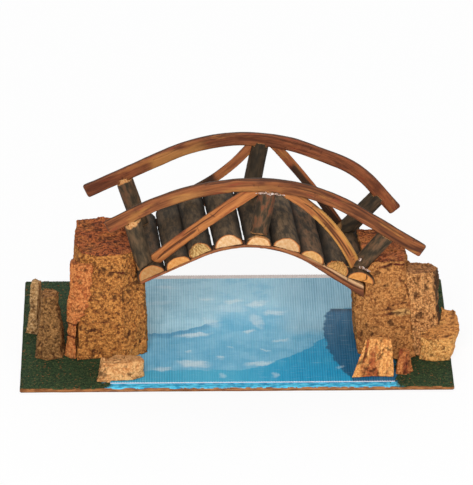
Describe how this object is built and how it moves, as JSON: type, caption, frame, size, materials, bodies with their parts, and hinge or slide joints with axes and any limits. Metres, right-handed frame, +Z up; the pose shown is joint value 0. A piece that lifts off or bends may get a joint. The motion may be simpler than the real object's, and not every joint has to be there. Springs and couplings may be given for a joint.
{
  "type": "model twig footbridge",
  "caption": "Craft model of an arched log footbridge with bent-twig handrails between cork-bark banks on a painted board with a ribbed water sheet.",
  "frame": {"origin": "middle of the base board's underside", "axes": "+X along the bridge to the right, +Y from the front to the back, +Z up"},
  "size_m": [0.2557, 0.155, 0.1175],
  "materials": {
    "painted_board": "painted, gritty",
    "ribbed_sheet": "glossy, finely ribbed",
    "cork": "rough cork bark",
    "log": "bark with sawn ends",
    "twig": "stained, satin"
  },
  "bodies": {
    "root": {"base_board": "painted_board", "deck_log_1": "log", "deck_log_2": "log", "deck_log_3": "log", "deck_log_4": "log", "deck_log_5": "log", "deck_log_6": "log", "deck_log_7": "log", "deck_log_8": "log", "deck_log_9": "log", "front_handrail": "twig", "front_king_post": "log", "front_left_brace": "twig", "front_left_post": "log", "front_right_brace": "twig", "front_right_post": "log", "front_stringer": "twig", "left_bank_block": "cork", "left_bank_boulder": "cork", "left_bank_chip": "cork", "left_bank_shard": "cork", "left_bank_slab": "cork", "rear_handrail": "twig", "rear_king_post": "log", "rear_left_brace": "twig", "rear_left_post": "log", "rear_right_brace": "twig", "rear_right_post": "log", "rear_stringer": "twig", "right_bank_back_chip": "cork", "right_bank_bark": "cork", "right_bank_block": "cork", "right_bank_chip": "cork", "right_bank_step": "cork", "water_sheet": "ribbed_sheet"}
  },
  "joints": []
}
